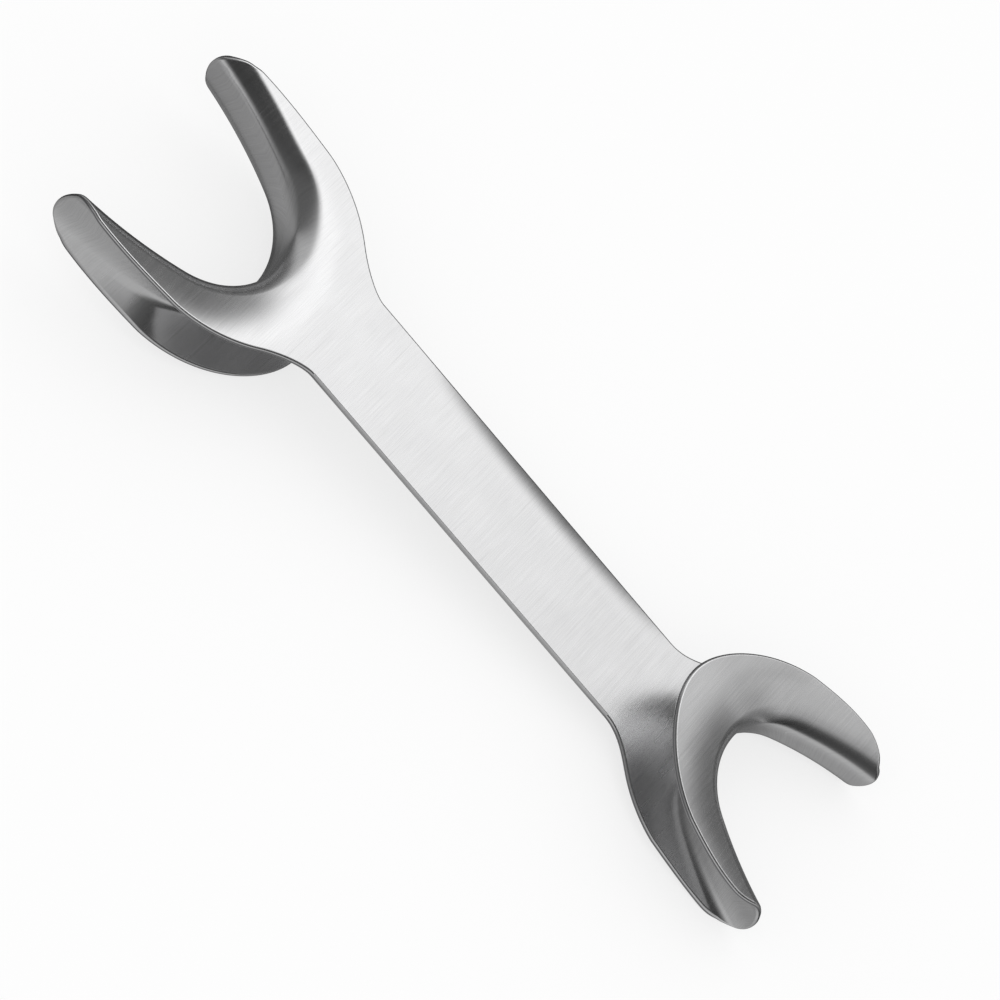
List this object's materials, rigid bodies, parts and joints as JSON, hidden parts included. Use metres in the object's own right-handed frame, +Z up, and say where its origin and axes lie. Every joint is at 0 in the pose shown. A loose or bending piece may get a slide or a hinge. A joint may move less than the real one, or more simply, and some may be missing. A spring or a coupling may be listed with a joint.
{
  "type": "cheek retractor",
  "caption": "Double-ended cheek retractor of bent stainless sheet: a flat handle with a horseshoe lip channel at each end, facing opposite ways.",
  "frame": {"origin": "on the surface the retractor lies on, under the middle of its box", "axes": "+X along the handle towards the small end, +Y across the handle, +Z up from the surface; the handle slopes down 7.1 degrees towards +X because the large hook is pressed down under it"},
  "size_m": [0.1454, 0.0406, 0.0178],
  "materials": {
    "stainless_flat": "satin, brushed across the handle",
    "stainless_formed": "satin, finely brushed round the folds"
  },
  "bodies": {
    "root": {"handle": "stainless_flat", "large_yoke": "stainless_flat", "large_web": "stainless_formed", "large_cheek_flange": "stainless_formed", "small_yoke": "stainless_flat", "small_web": "stainless_formed", "small_cheek_flange": "stainless_formed"}
  },
  "joints": []
}
